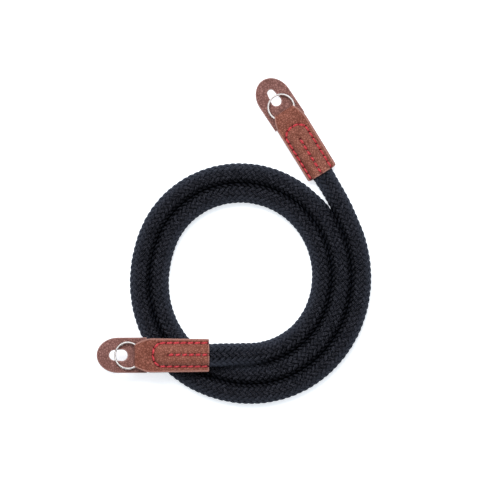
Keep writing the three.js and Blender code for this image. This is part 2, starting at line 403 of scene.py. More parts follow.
    def halves(self, press: Array) -> tuple[Array, Array]:
        """Half width and half height of the rope where it is pressed by that share."""
        wide = mix(self.diameter - self.side_narrowing, self.pressed_width, press) / 2
        return wide, mix(self.diameter, self.pressed_height, press) / 2

    def lowest_corner(self, points: Array, press: Array) -> Array:
        """Lowest corner of the many-sided solid that follows these stations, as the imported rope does.

        Args:
            points: The route's stations.
            press: How far the rope is pressed flat at each.

        Returns:
            The least x, y and z.
        """
        side, above, _ = axes_along(points)
        angle = (np.arange(self.sides) + 0.5) * 2 * math.pi / self.sides
        reach = 1 / math.cos(math.pi / self.sides)
        wide, high = self.halves(press)
        across = (wide * reach)[:, None] * np.cos(angle)
        up = (high * reach)[:, None] * np.sin(angle)
        ring = points[:, None] + side[:, None] * across[..., None] + above[:, None] * up[..., None]
        return ring.reshape(-1, 3).min(0)


def axes_along(points: Array) -> tuple[Array, Array, Array]:
    """Axes of a line at each of its points, from the points beside it.

    Args:
        points: The line.

    Returns:
        Its level side, its upper side and its direction.
    """
    ahead = np.concatenate([points[1:], points[-1:]])
    behind = np.concatenate([points[:1], points[:-1]])
    along = unit(ahead - behind)
    side = unit(np.cross(along, [0.0, 0.0, 1.0]))
    return side, np.cross(side, along), along


def even_line(points: Array, values: Array, spacing: float, ease: float) -> tuple[Array, Array]:
    """A smooth line through points, at even steps.

    Each span is a cubic that takes its slopes from its neighbours, and the whole is then averaged with a
    bell of half width ease, which rounds what is left of the corners. The two ends stay where they are.

    Args:
        points: The chosen points.
        values: One number of each point, which is carried along.
        spacing: The step.
        ease: Half width of the averaging bell.

    Returns:
        The line's points and their numbers.
    """
    both = np.concatenate([points, values[:, None]], 1)
    at = lengths_along(points)
    slope = np.gradient(both, at, axis=0)
    count = int(at[-1] / spacing) + 1
    where = np.linspace(0.0, at[-1], count)
    k = np.clip(np.searchsorted(at, where, side="right") - 1, 0, len(at) - 2)
    span = (at[k + 1] - at[k])[:, None]
    t = (where - at[k])[:, None] / span
    line = (
        (2 * t**3 - 3 * t**2 + 1) * both[k]
        + (t**3 - 2 * t**2 + t) * span * slope[k]
        + (3 * t**2 - 2 * t**3) * both[k + 1]
        + (t**3 - t**2) * span * slope[k + 1]
    )
    reach = int(3 * ease / spacing)
    bell = np.exp(-0.5 * (np.arange(-reach, reach + 1) * spacing / ease) ** 2)
    first, last = 2 * line[0] - line[reach:0:-1], 2 * line[-1] - line[-2 : -reach - 2 : -1]
    padded = np.concatenate([first, line, last])
    smooth = np.stack([np.convolve(padded[:, c], bell / bell.sum(), "valid") for c in range(4)], -1)
    again = lengths_along(smooth[:, :3])
    even = np.linspace(0.0, again[-1], int(again[-1] / spacing) + 1)
    smooth = np.stack([np.interp(even, again, smooth[:, c]) for c in range(4)], -1)
    return smooth[:, :3], smooth[:, 3]


def eased(values: Array) -> Array:
    """Numbers along the rope, averaged with a bell that reaches as many steps to both sides."""
    bell = np.hanning(2 * EASE_STEPS + 1)
    return np.convolve(np.pad(values, EASE_STEPS, "edge"), bell / bell.sum(), "valid")


@dataclass
class Rope:
    """Braided rope: a dark core inside a sheath of strands that pass over two and under two.

    Attributes:
        lift: Half the depth between a strand's upper and lower crossings.
        fullness: How far the sheath stands out past the solid rope at its sides.
        spread: How much fuller it is past the left mouth.
        spread_run: From the left mouth, that fullness fades between these lengths.
        lone_run: Length of rope within which a piece of it is no neighbour of its own.
        level_within: A neighbour's middle lies no higher or lower than this.
        touch_within: A side whose half way to a neighbour is less than this past it is pressed flat.
        touch_press: How far past half way the strands reach there.
        core_press: How far past half way the core reaches there.
        groove_shade_from: Shares of the half width over which painted shade darkens a strand beside a touching
            turn; the strand's shape stays as it is.
        rim_sheen_share: How pale painted sheen makes a side that touches nothing.
        rim_sheen_power: How quickly that painted sheen fades towards the rope's top.
        squareness: How long a strand stays up before it dives.
        under_narrowing: How much narrower a strand is where it dives.
        section: A strand's lens, as shares of its half width and half thickness.
    """

    route: RopeRoute
    ends: dict[EndName, "EndDesign"]
    strands_each_way: int = 12
    pitch: float = 41 * MM
    strand_width: float = 2.2 * MM
    strand_thickness: float = 1.1 * MM
    lift: float = 0.62 * MM
    fullness: float = 0.35 * MM
    spread: float = 0.6 * MM
    spread_run: tuple[float, float] = (30 * MM, 75 * MM)
    spread_start: float = 3 * MM
    core_inset: float = 1.2 * MM
    core_side_inset: float = 0.6 * MM
    core_press: float = 0.08 * MM
    core_sides: int = 24
    core_step: int = 3
    lone_run: float = 60 * MM
    level_within: float = 4 * MM
    touch_within: float = 0.8 * MM
    touch_press: float = 0.3 * MM
    groove_shade_from: tuple[float, float] = (0.5, 1.0)
    # groove_depth only deepens the painted shade in the groove between turns; the strands do not move.
    groove_depth: float = 0.65 * MM
    rim_sheen_share: float = 0.56
    rim_sheen_power: float = 1.6
    squareness: float = 1.7
    under_narrowing: float = 0.07
    drift: float = 0.05 * MM
    width_drift: float = 0.02
    section: tuple[tuple[float, float], ...] = (
        (1.0, -0.1), (0.66, 0.72), (0.0, 1.0), (-0.66, 0.72), (-1.0, -0.1), (0.0, -0.8),
    )
    strands_apiece: int = 6

    def __post_init__(self) -> None:
        """Works out the smooth centreline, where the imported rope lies, and how wide the rope is along it."""
        points, press = self.route.stations(self.ends)
        corner = np.array(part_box("rope")[0])
        self.shift = (corner - self.route.lowest_corner(points, press)) * [1, 1, 0]
        self.line, self.press = even_line(points, press, self.route.spacing, self.route.ease)
        self.line += self.shift
        self.side, self.above, self.ahead = axes_along(self.line)
        self.at = lengths_along(self.line)
        beyond = self.at - self.ends[EndName.LEFT].rope_tuck
        near_mouth = smooth_step(beyond, -self.spread_start, self.spread_start)
        near_mouth = near_mouth * (1 - smooth_step(beyond, *self.spread_run))
        self.own = self.route.halves(self.press)[0] + self.fullness + self.spread * near_mouth
        self.half_way = [self.to_neighbour(side) for side in (1, -1)]
        self.strand_reach = [self.reach(half, 0.0, self.touch_press) for half in self.half_way]
        self.core_reach = [self.reach(half, self.core_side_inset, self.core_press) for half in self.half_way]
        self.touching = [eased((half < self.own + self.touch_within) * 1.0) for half in self.half_way]

    def to_neighbour(self, towards: int) -> Array:
        """Looks for the turn that lies level beside each point.

        Args:
            towards: 1 for the level side's own direction and -1 for the other.

        Returns:
            Half way to that turn, or infinity where there is none.
        """
        gap = self.line[None] - self.line[:, None]
        beside = towards * (gap * self.side[:, None]).sum(-1)
        along = np.abs((gap * self.ahead[:, None]).sum(-1))
        other = np.abs(self.at[None] - self.at[:, None]) > self.lone_run
        level = np.abs(gap[..., 2]) < self.level_within
        near = other & level & (along < 2 * self.route.spacing) & (beside > 0)
        return np.where(near, beside, np.inf).min(1) / 2

    def reach(self, half_way: Array, inset: float, press: float) -> Array:
        """Half width on one side, eased along the rope.

        Args:
            half_way: Half way to the turn beside each point.
            inset: How far in from the rope's own half width.
            press: How far past half way where the turns touch.

        Returns:
            The half width at each point.
        """
        pressed = np.where(half_way < self.own + self.touch_within, half_way + press, 0.0)
        return eased(np.maximum(pressed, self.own - inset))

    def core_sheet(self) -> Sheet:
        """A tube round the centreline, each ring an ellipse set in from the rope's own outline.

        Returns:
            The closed tube.
        """
        keep = np.arange(0, len(self.line), self.core_step)
        high = self.route.halves(self.press)[1][keep, None] - self.core_inset
        angle = np.linspace(0, 2 * math.pi, self.core_sides, endpoint=False)
        wide = np.where(np.cos(angle) > 0, *(reach[keep, None] for reach in self.core_reach))
        side, above = self.side[keep, None], self.above[keep, None]
        around = side * (wide * np.cos(angle))[..., None] + above * (high * np.sin(angle))[..., None]
        return Sheet(self.line[keep, None] + around)

    def strand_sheets(self, hand: Hand, numbers: Array, rng: np.random.Generator) -> list[Sheet]:
        """Strands of one hand.

        A strand's middle winds round the rope's elliptic outline by one turn a pitch. Its depth follows a
        cosine over four crossings, so that it passes over two strands of the other hand and under two. Its
        section is a flat lens, as wide as the space between neighbours.

        Args:
            hand: The way they wind.
            numbers: Which strands of that hand.
            rng: Source of small differences between strands.

        Returns:
            One closed tube for each strand, with its tone, the depth that sets its painted shade, and its
            share of painted sheen.
        """
        k = numbers[:, None].astype(float)
        crossing = 2 * self.strands_each_way * self.at[None] / self.pitch
        column = hand.value * crossing + 2 * k
        over = hand.value * np.cos(math.pi / 2 * (column - 0.5))
        over = np.tanh(self.squareness * over) / math.tanh(self.squareness)
        winding = hand.value * 2 * math.pi * self.at[None] / self.pitch
        angle = winding + 2 * math.pi * k / self.strands_each_way
        angle = angle - math.pi / (2 * self.strands_each_way)
        drift = rng.normal(0.0, self.drift, k.shape)
        inset = self.strand_thickness / 2 + self.lift * (1.0 - over) + np.abs(drift)
        high = self.route.halves(self.press)[1][None]
        c, s = np.cos(angle), np.sin(angle)
        wide = np.where(c > 0, *self.strand_reach)
        sideways, upwards = ((wide - inset) * c)[..., None], ((high - inset) * s)[..., None]
        middle = self.line + self.side * sideways + self.above * upwards
        touching = np.where(c > 0, *self.touching)
        groove_shade = touching * smooth_step(np.abs(c), *self.groove_shade_from)
        # Painted sheen: free sides are made paler and bluer towards the rim, the way grazing light would show
        # them.
        painted_sheen_share = self.rim_sheen_share * (1 - touching) * np.abs(c) ** self.rim_sheen_power
        lens = np.array(self.section)
        # Painted shade: depth below the outline, with the groove beside a touching turn counted deeper,
        # darkens the strand's colour.
        below = (inset + self.groove_depth * groove_shade)[..., None]
        below = below - self.strand_thickness / 2 * lens[:, 1]
        out = unit(self.side * (c / wide)[..., None] + self.above * (s / high)[..., None])
        across = unit(np.cross(out, np.gradient(middle, axis=1)))
        width = self.strand_width * (1 - self.under_narrowing * (1 - over))
        width = width * (1 + rng.normal(0.0, self.width_drift, k.shape))
        rings = (
            middle[:, :, None]
            + across[:, :, None] * (width[..., None] / 2 * lens[:, 0])[..., None]
            + out[:, :, None] * (self.strand_thickness / 2 * lens[:, 1])[None, None, :, None]
        )
        columns = np.arange(len(lens) + 1) / len(lens)
        uv = np.stack(np.broadcast_arrays(columns[None], self.at[:, None] / MM), -1)
        tints = np.broadcast_to(rng.uniform(0, 1, len(numbers))[:, None, None], rings.shape[:3])
        painted_sheen_share = np.broadcast_to(painted_sheen_share[..., None], rings.shape[:3])
        # Each strand's values: a random tone, the depth for painted shade, and the share of painted sheen.
        return [
            Sheet(ring, uv=uv, values={"tint": tint, "depth": deep / MM, "fluff": fluff})
            for ring, tint, deep, fluff in zip(rings, tints, below, painted_sheen_share)
        ]

    def build(self, core_yarn: "FibreFinish", braid_yarn: "FibreFinish") -> None:
        """Makes the core and the strands that go with it.

        Args:
            core_yarn: Finish of the core.
            braid_yarn: Finish of the strands.
        """
        core = make_piece("rope_core", [self.core_sheet()], core_yarn.material(), replaces="rope")
        rng = np.random.default_rng(SEED)
        braid = braid_yarn.material()
        pieces_a_hand = self.strands_each_way // self.strands_apiece
        for hand in Hand:
            for part in range(pieces_a_hand):
                numbers = np.arange(part, self.strands_each_way, pieces_a_hand)
                name = f"strands_{hand.name.lower()}_{part + 1}"
                make_piece(name, self.strand_sheets(hand, numbers, rng), braid)
        (self.ends[EndName.LEFT].pocket_line()[0] + self.shift).tolist()
        LOG.info("rope: %.3f m from end to end", self.at[-1])


# ---- leather ends ----


@dataclass
class EndDesign:
    """A folded leather end: x from its mouth to its ring, z from the plane that it lies on.

    One strip runs from the mouth over the flattened rope, back round the ring and under the rope again.

    Attributes:
        lies_on: Height of the plane that it lies on, at its mouth.
        lower_shift: How far the lower layer lies to the side of the upper one.
        seam_shift: How far the seams lie to the side of the strip's middle.
        slot_radii: Radius of the guard's slot at its inner and at its outer end.
        slot_inset: From the far side of the ring's seat back to the middle of the slot.
        ring_out: How far the ring is pulled out of its seat.
        groove_stop: How far before the pocket's dome the groove of the middle seam begins to fade.
        last_stitch: How far past that point the middle seam goes on.
    """

    name: EndName
    width: float
    heading: float
    tilt: float
    guard_turn: float
    lies_on: float
    mouth_at: Array
    lower_shift: float
    seam_shift: float
    mouth_narrowing: float
    slot_radii: tuple[float, float]
    slot_inset: float
    ring_out: float
    corner_round: float
    leather: float = 1.4 * MM
    fit_gap: float = 0.3 * MM
    pressed_width: float = 12.4 * MM
    pressed_height: float = 6.6 * MM
    pocket_length: float = 33 * MM
    neck_length: float = 10.7 * MM
    neck_width: float = 13 * MM
    seam_margin: float = 0.3 * MM
    seam_round: float = 4.7 * MM
    shoulder_gap: float = 1 * MM
    shoulder_curve: float = 1.7
    groove_depth: float = 0.7 * MM
    groove_half_width: float = 1.7 * MM
    groove_stop: float = 5 * MM
    last_stitch: float = 0.9 * MM
    seam_start: float = 0.6 * MM
    seam_points: int = 80
    middle_points: int = 60
    bulge_fullness: float = 0.6
    ring_radius: float = 7.6 * MM
    ring_seat: float = 4.8 * MM
    wire_width: float = 1.12 * MM
    wire_height: float = 0.9 * MM
    wire_gap: float = 0.1 * MM
    guard_thickness: float = 1.4 * MM
    guard_underlap: float = 7.5 * MM

    def __post_init__(self) -> None:
        """Works out what follows from the sizes."""
        self.ring_half = self.wire_height + self.wire_gap / 2
        self.eye_half = self.ring_half + self.fit_gap + self.leather
        self.eye_height = self.guard_thickness + self.fit_gap + self.eye_half
        self.pocket_half = self.pressed_height / 2 + self.fit_gap + self.leather
        self.seam_half = self.pressed_width / 2 + self.fit_gap + self.seam_margin
        self.length = self.pocket_length + self.neck_length
        self.nose_start = self.length - self.eye_half
        self.dome_start = self.pocket_length - self.seam_round
        self.shoulder_start = self.pocket_length + self.shoulder_gap
        self.rope_tuck = self.dome_start - self.fit_gap
        self.eye_start = self.length - self.ring_seat
        self.ring_centre = self.eye_start + self.ring_radius
        self.guard_start = self.length - self.guard_underlap
        origin = self.mouth_at * [1, 1, 0] + [0, 0, self.lies_on]
        self.place = Place(origin, turn_z(self.heading) @ turn_y(-self.tilt))

    def pocket_line(self) -> Array:
        """Three points of the rope's middle from the mouth to its hidden end."""
        x = np.array([0.0, self.rope_tuck / 2, self.rope_tuck])
        return self.place.put(np.stack([x, np.zeros(3), np.full(3, self.pocket_half)], -1))

    def half_width(self, x: Array) -> Array:
        """A rounded corner at the mouth, nearly straight sides, then a shoulder down to the neck.

        Args:
            x: Distances from the mouth.

        Returns:
            Half the strip's width there.
        """
        shoulder = np.clip((x - self.shoulder_start) / (self.length - self.shoulder_start), 0, 1)
        full = self.width - self.mouth_narrowing * (1 - np.clip(x / self.shoulder_start, 0, 1))
        corner = 1 - np.clip(x / self.corner_round, 0, 1)
        cut_off = self.corner_round * (1 - np.sqrt(1 - corner**2))
        return mix(full, self.neck_width, shoulder**self.shoulder_curve) / 2 - cut_off

    def middle(self, x: Array) -> Array:
        """Height of the plane between the strip's two layers."""
        return mix(self.pocket_half, self.eye_height, smooth_step(x, self.dome_start, self.nose_start))

    def hollow(self, x: Array, y: Array) -> Array:
        """The space inside: an arch across the rope, low at the seams, that ends in a dome.

        It is nothing in the neck, and it opens again round the ring.

        Args:
            x: Distances from the mouth.
            y: Distances from the strip's middle line.

        Returns:
            Half the space between the two layers.
        """
        along = np.clip((x - self.dome_start) / self.seam_round, 0, 1)
        dome = np.sqrt(np.maximum(1 - along**2, 0.0))
        q = np.abs(y - self.seam_shift) / np.maximum(self.seam_half * dome, 1e-9)
        bulge = np.maximum(1 - q**2, 0.0) ** self.bulge_fullness
        arch = (self.pocket_half - self.leather) * dome * bulge
        eye = (self.eye_half - self.leather) * smooth_step(x, self.pocket_length, self.eye_start)
        return arch + eye

    def seam(self) -> Array:
        """The outer seam: from the mouth along one side, round half an ellipse, and back.

        Returns:
            Its points on the strip.
        """
        straight = np.linspace(self.seam_start, self.dome_start, self.seam_points)
        turn = np.linspace(-math.pi / 2, math.pi / 2, self.seam_points)[1:-1]
        bow_x = self.dome_start + self.seam_round * np.cos(turn)
        x = np.concatenate([straight, bow_x, straight[::-1]])
        side = np.ones(self.seam_points)
        y = self.seam_half * np.concatenate([-side, np.sin(turn), side])
        return np.stack([x, y + self.seam_shift], -1)

    def middle_seam(self) -> Array:
        """The straight seam along the pocket's middle, from the mouth.

        Returns:
            Its points on the strip.
        """
        stop = self.dome_start - self.groove_stop + self.last_stitch
        x = np.linspace(self.seam_start, stop, self.middle_points)
        return np.stack([x, np.full_like(x, self.seam_shift)], -1)

    def pulled(self, x: Array, y: Array) -> Array:
        """A groove with the section of a bell, which makes two lobes of the bulge.

        Args:
            x: Distances from the mouth.
            y: Distances from the strip's middle line.

        Returns:
            How far the middle seam pulls the bulge in.
        """
        groove = 1 - smooth_step(x, self.dome_start - self.groove_stop, self.dome_start)
        valley = np.exp(-(((y - self.seam_shift) / self.groove_half_width) ** 2))
        return self.groove_depth * groove * valley


@dataclass
class Stitching:
    """Hand sewing along a line: a hole at even steps and a slanted stitch from each to the next.

    Attributes:
        line: The seam's points on the strip.
        cover: Share of the way from hole to hole that a stitch covers.
        slant: How far a stitch's two ends lie off the line.
        rise: How far its middle rises over the upper face; below, it stays half a thread under the face.
        sink: How far its ends sink in.
        end_thickness: Share of the thread's thickness at its ends.
        thinning: Power of the half sine that the thickness follows.
    """

    line: Array
    cover: float
    pitch: float = 4.15 * MM
    thread: float = 1.5 * MM
    slant: float = 0.16 * MM
    rise: float = 0.34 * MM
    sink: float = 0.9 * MM
    end_thickness: float = 0.35
    thinning: float = 0.35
    rows: int = 11
    sides: int = 10

    def holes(self) -> Array:
        """As many needle holes as the pitch allows, evenly apart.

        Returns:
            Their places on the strip.
        """
        at = lengths_along(self.line)
        count = round(at[-1] / self.pitch)
        where = np.linspace(0, at[-1], count + 1)
        return np.stack([np.interp(where, at, self.line[:, c]) for c in (0, 1)], -1)


@dataclass
class LeatherEnd:
    """Builds the folded strip and its stitches from one design.

    Attributes:
        columns: Points across a face.
        evenness: At 1 they are evenly spaced, and less brings them closer together at the edges.
        bevel: Radius of the strip's rounded edges.
        bevel_fullness: How much of a full quarter turn they make.
        painted_highlight_from: The bulge gets a painted highlight, paler between these half heights.
        rim_band: Distances from the edge between which the cut edge's colour fades.
        mouth_band: The same, from the mouth.
    """

    design: EndDesign
    along_step: float = 0.32 * MM
    under_step: float = 0.6 * MM
    columns: int = 66
    evenness: float = 0.55
    nose_rows: int = 18
    bevel: float = 0.38 * MM
    bevel_fullness: float = 0.98
    hole_radius: float = 0.7 * MM
    hole_depth: float = 0.6 * MM
    trough_depth: float = 0.32 * MM
    trough_half: float = 0.75 * MM
    layer_gap: float = 0.02 * MM
    painted_highlight_from: tuple[float, float] = (1.2 * MM, 4.0 * MM)
    valley_half: float = 1.3 * MM
    rim_band: tuple[float, float] = (1.3 * MM, 0.6 * MM)
    mouth_band: tuple[float, float] = (0.3 * MM, 0.9 * MM)

    def __post_init__(self) -> None:
        """Lays out the two seams."""
        outer, middle = self.design.seam(), self.design.middle_seam()
        self.seams = [Stitching(outer, cover=0.83), Stitching(middle, cover=0.64)]
        self.hole_points = np.concatenate([seam.holes() for seam in self.seams])

    def sewn_in(self, x: Array, y: Array) -> tuple[Array, Array]:
        """The pull is a bell of the distance to the nearest seam, and each hole is a narrower, deeper bell.

        Args:
            x: Distances from the mouth.
            y: Distances from the strip's middle line.

        Returns:
            How far the seams pull the face in, and how much of a needle hole is there.
        """
        flat = np.stack([x.ravel(), y.ravel()], -1)
        path = np.concatenate([seam.line[::2] for seam in self.seams])
        to_seam, to_hole = (
            np.sqrt(((flat[:, None] - points[None]) ** 2).sum(-1).min(1)).reshape(x.shape)
            for points in (path, self.hole_points)
        )
        hole = np.exp(-((to_hole / self.hole_radius) ** 2))
        trough = np.exp(-((to_seam / self.trough_half) ** 2))
        return self.trough_depth * trough + self.hole_depth * hole, hole

    def outside(self, x: Array, y: Array) -> tuple[Array, Array]:
        """The outer face: the hollow and the leather over it, less what the seams and the round edge take.

        Args:
            x: Distances from the mouth.
            y: Distances from the strip's middle line.

        Returns:
            Half the end's height there, and how much of a needle hole is there.
        """
        d = self.design
        sewn, hole = self.sewn_in(x, y)
        edge = np.clip((np.abs(y) - d.half_width(x) + self.bevel) / self.bevel, 0, 1)
        rounded = self.bevel * (1 - np.sqrt(1 - self.bevel_fullness * edge**2))
        return d.hollow(x, y) + d.leather - d.pulled(x, y) - sewn - rounded, hole

    def strip(self) -> Sheet:
        """The folded strip: its rows run along the top to the nose, round the ring and back underneath.

        Each row is a closed section, with the outer face one way and the inner face back. In the nose, the
        rows turn about its axis by even angles.

        Returns:
            The closed strip, with the values of its cut edges, needle holes and the painted highlight on the
            bulge.
        """
        d = self.design
        top = np.linspace(0, d.nose_start, round(d.nose_start / self.along_step) + 1)
        turn = np.linspace(0, math.pi, self.nose_rows + 2)[1:-1]
        under = np.linspace(d.nose_start, 0, round(d.nose_start / self.under_step) + 1)
        x = np.concatenate([top, np.full(self.nose_rows, d.nose_start), under])
        angle = np.concatenate([np.zeros_like(top), turn, np.full_like(under, math.pi)])[:, None]
        share = np.linspace(1, -1, self.columns)
        share = self.evenness * share + (1 - self.evenness) * np.sin(share * math.pi / 2)
        reach = np.minimum(x + d.eye_half * np.sin(angle[:, 0]), d.length)
        half_width = d.half_width(reach)[:, None]
        y = half_width * share
        grid_x = np.broadcast_to(x[:, None], y.shape)
        outer, hole = self.outside(grid_x, y * (d.half_width(x)[:, None] / half_width))
        inner = np.maximum(d.hollow(grid_x, y), self.layer_gap)
        sideways = y + d.lower_shift * smooth_step(angle, 0, math.pi)
        middle = d.middle(grid_x)
        faces = [
            np.stack([grid_x + half * np.sin(angle), sideways, middle + half * np.cos(angle)], -1)
            for half in (outer, inner)
        ]
        points = np.concatenate([faces[0], faces[1][:, ::-1]], 1)
        rim = smooth_step(np.abs(y), *(half_width - band for band in self.rim_band))
        mouth = 1 - smooth_step(grid_x, *self.mouth_band)
        edge = np.concatenate([np.maximum(rim, mouth), np.ones_like(y)], 1)
        holes = np.concatenate([hole, np.zeros_like(y)], 1)
        # Painted highlight: the bulge's two lobes are paler, away from the middle groove, carried in the worn
        # value.
        beside_valley = 1 - np.exp(-((y / self.valley_half) ** 2))
        raised = smooth_step(d.hollow(grid_x, y), *self.painted_highlight_from) * beside_valley
        worn = np.concatenate([raised, np.zeros_like(y)], 1)
        return Sheet(d.place.put(points), Cap.STRIP, values={"edge": edge, "hole": holes, "worn": worn})

    def stitches(self, seam: Stitching, face: int) -> list[Sheet]:
        """The stitches of one seam on one face.

        A stitch is a round thread whose middle rises over the leather along the root of half a sine, from
        hole to hole, and whose thickness falls off at both ends along a power of that sine.

        Args:
            seam: The seam.
            face: 1 for the upper face and -1 for the lower one.

        Returns:
            One closed tube for each stitch.
        """
        d = self.design
        share = np.linspace(0, 1, seam.rows)[:, None]
        around = np.linspace(0, 2 * math.pi, seam.sides, endpoint=False)[:, None]
        holes = seam.holes()
        start, end = holes[:-1, None], holes[1:, None]
        along = unit(end - start)
        aside = np.stack([-along[..., 1], along[..., 0]], -1)
        slanted = aside * (seam.slant * (share - 0.5) * 2)
        flat = mix(start, end, 0.5 + seam.cover * (share - 0.5)) + slanted
        x, y = flat[..., 0], flat[..., 1]
        half = d.hollow(x, y) + d.leather - d.pulled(x, y) - self.trough_depth
        arch = np.sin(math.pi * share[:, 0])
        rise = seam.rise if face > 0 else -seam.thread / 2
        lift = -seam.sink + (seam.sink + rise) * np.sqrt(arch)
        shifted = y + (d.lower_shift if face < 0 else 0)
        middle = np.stack([x, shifted, d.middle(x) + face * (half + lift)], -1)
        thick = seam.thread / 2 * mix(seam.end_thickness, 1.0, arch**seam.thinning)
        direction = unit(np.gradient(middle, axis=1))
        wide = unit(np.cross(np.broadcast_to([0.0, 0.0, 1.0], middle.shape), direction))
        high = np.cross(direction, wide)
        ring = wide[:, :, None] * np.cos(around) + high[:, :, None] * np.sin(around)
        points = middle[:, :, None] + ring * thick[None, :, None, None]
        return [Sheet(d.place.put(p)) for p in points]

    def build(self, hide: "LeatherFinish", thread: "FibreFinish") -> None:
        """Makes the folded strip and its stitches.

        Args:
            hide: Finish of the strip.
            thread: Finish of the stitches.
        """
        name = self.design.name.value
        strip, sewing = f"folded_strip_{name}", f"stitches_{name}"
        make_piece(strip, [self.strip()], hide.material(), replaces=f"leather_end_{name}")
        sheets = [sheet for seam in self.seams for face in (1, -1) for sheet in self.stitches(seam, face)]
        make_piece(sewing, sheets, thread.material())


# ---- rings and guards ----


@dataclass
class SplitRing:
    """Two turns of rounded flat wire, one over the other, through a leather eye.

    Attributes:
        climb: Degrees over which the wire climbs from its lower turn to its upper one.
        split_at: The way of the split, from the ring's middle.
        squareness: Power that turns a circle into the wire's section.
        end_rows: Rows in which the wire would grow from nothing to its full thickness.
        end_share: Share of its thickness at its very ends.
    """

    design: EndDesign
    climb: float = 45.0
    split_at: float = 180.0
    rows: int = 260
    sides: int = 14
    squareness: float = 0.85
    end_rows: float = 2.0
    end_share: float = 0.6

    def wire(self) -> Sheet:
        """The wire: its middle is a circle run through twice.

        Its height steps from the lower turn to the upper one along a smooth step, half way. Its section is
        a rounded rectangle, a circle with both of its coordinates raised to the same power.

        Returns:
            The closed wire.
        """
        d = self.design
        angle = np.linspace(self.climb / 2, 720 - self.climb / 2, self.rows)
        stepped = smooth_step(angle, 360 - self.climb / 2, 360 + self.climb / 2) - 0.5
        height = (d.wire_height + d.wire_gap) * stepped
        turn = np.radians(angle + self.split_at)
        out = np.stack([np.cos(turn), np.sin(turn), np.zeros_like(turn)], -1)[:, None]
        up = np.array([0.0, 0.0, 1.0])
        phi = np.linspace(0, 2 * math.pi, self.sides, endpoint=False)
        c, s = (np.sign(v) * np.abs(v) ** self.squareness for v in (np.cos(phi), np.sin(phi)))
        from_end = np.minimum(np.arange(self.rows), np.arange(self.rows)[::-1])
        ends = np.clip(from_end / self.end_rows + self.end_share, 0, 1)[:, None]
        wide = (d.wire_width / 2 * c)[None] * ends
        high = (d.wire_height / 2 * s)[None] * ends
        points = out * (d.ring_radius + wide)[..., None] + up * (height[:, None] + high)[..., None]
        return Sheet(self.place().put(points[:, ::-1]))

    def place(self) -> Place:
        """Level in the eye and down to the guard at its far side.

        Returns:
            The ring's own frame.
        """
        d = self.design
        far = d.guard_thickness + d.fit_gap + d.ring_half
        tilt = math.degrees(math.atan2(d.eye_height - far, 2 * d.ring_radius))
        centre = np.array([d.ring_centre + d.ring_out, 0.0, (d.eye_height + far) / 2])
        return d.place.inside(centre, turn_y(tilt))

    def build(self, finish: "WireFinish") -> None:
        """Makes the ring.

        Args:
            finish: Finish of the wire.
        """
        end, plated = self.design.name.value, finish.material()
        make_piece(f"ring_{end}", [self.wire()], plated, replaces=f"split_ring_{end}")


